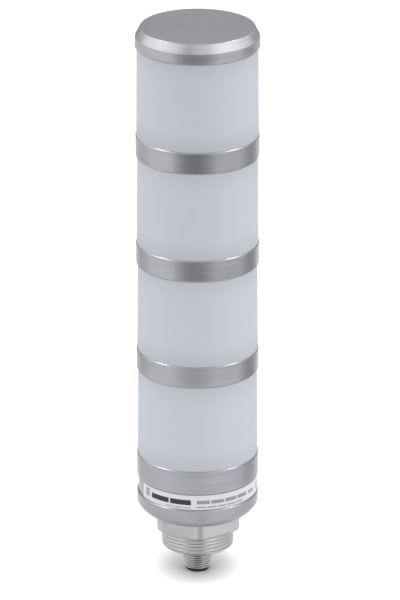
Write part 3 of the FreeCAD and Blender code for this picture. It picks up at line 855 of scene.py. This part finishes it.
class STACKLIGHT_OT_inner_finishes(bpy.types.Operator):
    """Finishes of the pieces that keep their packed form: contacts, boards, core, seals and fasteners"""
    bl_idname = "stack_light.inner_finishes"
    bl_label = "Inner finishes"

    def execute(self, context):
        # How each slot's material is made, its linear colour and its roughness
        finishes = {
            "black_plastic": (moulded, (0.012, 0.012, 0.014), 0.5),
            "contact_gold": (milled_metal, (0.83, 0.60, 0.24), 0.25),
            "seal_silicone": (moulded, (0.42, 0.42, 0.42), 0.7),
            "barrier_plastic": (moulded, (0.80, 0.80, 0.81), 0.5),
            "core_aluminium": (milled_metal, (0.60, 0.60, 0.61), 0.4),
            "led_board_white": (moulded, (0.80, 0.81, 0.80), 0.45),
            "led_phosphor": (moulded, (0.85, 0.78, 0.42), 0.3),
            "board_green": (moulded, (0.02, 0.12, 0.05), 0.4),
            "chip_black": (moulded, (0.02, 0.02, 0.022), 0.55),
            "capacitor_can": (milled_metal, (0.70, 0.70, 0.71), 0.3),
            "lead_insulation": (moulded, (0.20, 0.20, 0.22), 0.5),
            "zinc_steel": (milled_metal, (0.56, 0.57, 0.59), 0.35),
            "spacer_brass": (milled_metal, (0.62, 0.58, 0.46), 0.3),
        }
        grain_scales = {"core_aluminium": {"scale": 300.0}, "led_phosphor": {"scale": 2500.0}}
        made = {"connector_metal": bpy.data.materials["nickel plate"]}
        for part in frame["record"]["subparts"]:
            node, slot = frame["nodes"][part["node"]], part["material_slot"]
            if node.hide_render:
                continue
            if slot not in made:
                maker, rgb, roughness = finishes[slot]
                made[slot] = maker(slot.replace("_", " "), rgb, roughness, **grain_scales.get(slot, {}))
            node.data.materials.clear()
            node.data.materials.append(made[slot])
        return {"FINISHED"}


class STACKLIGHT_OT_studio(bpy.types.Operator):
    """Pale floor, even light, soft lamps at the sides and in front, dark cards, and the camera"""
    bl_idname = "stack_light.studio"
    bl_label = "Studio"

    def execute(self, context):
        studio = context.scene.stack_light_studio
        self.add_world(context.scene, studio.ambient)
        self.add_floor(context.scene.stack_light_floor)
        for name in ("front_card", "right_card", "side_card", "left_card", "back_card", "corner_card",
                     "flat_card", "plug_card"):
            self.add_card(name, *getattr(studio, name))
        for side, watts in ((-1, studio.left_lamp_power), (1, studio.right_lamp_power)):
            self.add_lamp("side_lamp", side * studio.lamp_azimuth, studio.lamp_elevation,
                          studio.lamp_distance, watts, studio.lamp_size)
            self.add_lamp("edge_lamp", side * studio.edge_lamp_azimuth, studio.edge_lamp_elevation,
                          studio.lamp_distance, studio.edge_lamp_power, studio.edge_lamp_size)
        self.add_lamp("front_lamp", studio.front_lamp_azimuth, studio.front_lamp_elevation,
                      studio.lamp_distance, studio.front_lamp_power, studio.front_lamp_size)
        self.add_camera(context.scene, studio)
        context.scene.view_settings.view_transform = "Standard"
        return {"FINISHED"}

    def add_world(self, scene, ambient):
        """White world: strength 1 for the camera, in reflections and through glass, and the ambient strength
        for light on the object."""
        world = bpy.data.worlds.new("studio")
        world.use_nodes = True
        world.node_tree.nodes.clear()
        start = Field(world.node_tree)
        ray = start.node("ShaderNodeLightPath", {}, {}, "Is Camera Ray")
        mirrored = ray.math("MAXIMUM", ray.output("Is Glossy Ray"))
        seen = mirrored.math("MAXIMUM", ray.output("Is Transmission Ray"))
        strength = seen * (1.0 - ambient) + ambient
        light = start.node("ShaderNodeBackground", {}, {"Color": WHITE, "Strength": strength})
        start.node("ShaderNodeOutputWorld", {}, {"Surface": light})
        scene.world = world

    def add_sheet(self, name, corners, material):
        """Flat sheet of the stage from its four corners."""
        sheet = new_object(name, np.array(corners, float), [[0, 1, 2, 3]])
        sheet.data.materials.append(material)
        return sheet

    def add_floor(self, floor):
        """Grey floor with a glow that makes it white. For the camera the glow grows with the distance d from
        the shadow's middle, d² = x² + (shape·(y - place))², so the glow held back round the tip paints the
        shadow's size and shape, and the floor's real lit shade gives its depth. Reflections show a part of
        the glow, less near the axis, which paints a darker floor under the object into them, and a part
        lights the object."""
        finish = Finish("floor_white")
        lit = finish.diffuse(opaque([floor.tone] * 3))
        glow = finish.node("ShaderNodeEmission", {}, {"Color": WHITE, "Strength": floor.glow})
        white = finish.node("ShaderNodeAddShader", {}, {0: lit, 1: glow})
        depth = (finish.y - floor.shadow_back) * floor.shadow_shape
        distance = (finish.x * finish.x + depth * depth).math("SQRT")
        # Painted shadow: the glow is held back inside this distance
        clear_of_shadow = distance.smooth(floor.shadow_inner, floor.shadow_outer)
        # Painted shade in reflections: they see no glow near the axis
        clear_of_axis = finish.radius.smooth(floor.mirrored_inner, floor.mirrored_outer)
        ray = finish.node("ShaderNodeLightPath", {}, {}, "Is Camera Ray")
        mirrored = ray.output("Is Glossy Ray") * clear_of_axis * floor.mirrored
        part = ray * clear_of_shadow + mirrored + ray.output("Is Diffuse Ray") * floor.given
        signs = ((-1, -1), (1, -1), (1, 1), (-1, 1))
        corners = [(x * floor.reach, y * floor.reach, tip) for x, y in signs]
        self.add_sheet("studio_floor", corners, finish.close_mixed(part, lit, white))

    def dark_film(self, name, side, width, height, darkness):
        """Dark material that fades out towards the sides and the top of a card: its density is the darkness
        times 1 - (2u/width)² for a point u from the card's middle, times a fade at its foot and over its
        upper half."""
        finish = Finish(name)
        across = (finish.x * float(side[0]) + finish.y * float(side[1])) * (2.0 / width)
        density = (1 - across * across).math("MAXIMUM", 0.0)
        level = (finish.z - tip) / height
        foot = min(CARD_FOOT_SHARE, CARD_FOOT / height)
        fade = level.smooth(0.0, foot) * (1 - level.smooth(0.5, 1.0))
        clear = finish.node("ShaderNodeBsdfTransparent", {}, {})
        return finish.close_mixed(density * fade * darkness, clear, finish.diffuse(CARD_COLOUR))

    def add_card(self, name, azimuth, distance, width, height, darkness):
        """Dark card that stands on the floor and faces the column: azimuth 0 is in front, and positive is
        right. Only reflections show it."""
        azimuth = math.radians(azimuth)
        away = np.array([math.sin(azimuth), -math.cos(azimuth), 0.0])
        along = np.array([math.cos(azimuth), math.sin(azimuth), 0.0])
        material = self.dark_film(name, along, width, height, darkness)
        side = along * width / 2
        foot = away * distance + np.array([0.0, 0.0, tip])
        rise = np.array([0.0, 0.0, height])
        corners = [foot - side, foot + side, foot + side + rise, foot - side + rise]
        sheet = self.add_sheet(name, corners, material)
        sheet.visible_camera = False
        sheet.visible_shadow = False
        sheet.visible_diffuse = False

    def add_lamp(self, name, azimuth, elevation, distance, watts, size):
        """Soft rectangular lamp that faces the middle of the column."""
        away = Vector((math.sin(azimuth) * math.cos(elevation), -math.cos(azimuth) * math.cos(elevation),
                       math.sin(elevation)))
        lamp = bpy.data.lights.new(name, "AREA")
        lamp.shape = "RECTANGLE"
        lamp.size, lamp.size_y = size
        lamp.energy = watts
        placed = bpy.data.objects.new(name, lamp)
        placed.location = Vector((0, 0, (cap_top + tip) / 2)) + away * distance
        placed.rotation_euler = away.to_track_quat("Z", "Y").to_euler()
        bpy.context.scene.collection.objects.link(placed)

    def add_camera(self, scene, studio):
        """Camera in front of the column, above the cap and looking down."""
        camera = bpy.data.cameras.new("camera")
        camera.lens = studio.focal_length
        camera.clip_start, camera.clip_end = 0.05, 30.0
        placed = bpy.data.objects.new("camera", camera)
        placed.location = (studio.camera_side, -studio.camera_distance, cap_top + studio.camera_rise)
        placed.rotation_euler = (math.pi / 2 - studio.camera_tilt, 0.0, 0.0)
        scene.collection.objects.link(placed)
        scene.camera = placed


class STACKLIGHT_PT_sidebar(bpy.types.Panel):
    """Buttons and sizes of the stack light"""
    bl_idname = "STACKLIGHT_PT_sidebar"
    bl_label = "Stack light"
    bl_space_type = "VIEW_3D"
    bl_region_type = "UI"
    bl_category = "Stack light"

    def draw(self, context):
        for made in operators:
            self.layout.operator(made.bl_idname)
        for name, group in groups.items():
            box = self.layout.box()
            values = getattr(context.scene, name)
            for key in group.__annotations__:
                box.prop(values, key)


groups = {
    "stack_light_joints": STACKLIGHT_PG_joints,
    "stack_light_cap": STACKLIGHT_PG_cap,
    "stack_light_base": STACKLIGHT_PG_base,
    "stack_light_stud": STACKLIGHT_PG_stud,
    "stack_light_connector": STACKLIGHT_PG_connector,
    "stack_light_finish": STACKLIGHT_PG_finish,
    "stack_light_floor": STACKLIGHT_PG_floor,
    "stack_light_studio": STACKLIGHT_PG_studio,
}
operators = [
    STACKLIGHT_OT_top_cap,
    STACKLIGHT_OT_rings,
    STACKLIGHT_OT_lenses,
    STACKLIGHT_OT_base,
    STACKLIGHT_OT_label,
    STACKLIGHT_OT_stud,
    STACKLIGHT_OT_connector,
    STACKLIGHT_OT_inner_finishes,
    STACKLIGHT_OT_studio,
]


def register():
    """Register every class and give the scene a group of values for each set of sizes."""
    for made in [*groups.values(), *operators, STACKLIGHT_PT_sidebar]:
        bpy.utils.register_class(made)
    for name, group in groups.items():
        setattr(bpy.types.Scene, name, PointerProperty(type=group))


def unregister():
    """Take away the scene's groups of values and the classes."""
    for name in groups:
        delattr(bpy.types.Scene, name)
    for made in [STACKLIGHT_PT_sidebar, *reversed(operators), *reversed(list(groups.values()))]:
        bpy.utils.unregister_class(made)


def main():
    """Build every piece and the studio in order."""
    register()
    for made in operators:
        group, name = made.bl_idname.split(".")
        getattr(getattr(bpy.ops, group), name)()


if __name__ == "__main__":
    main()
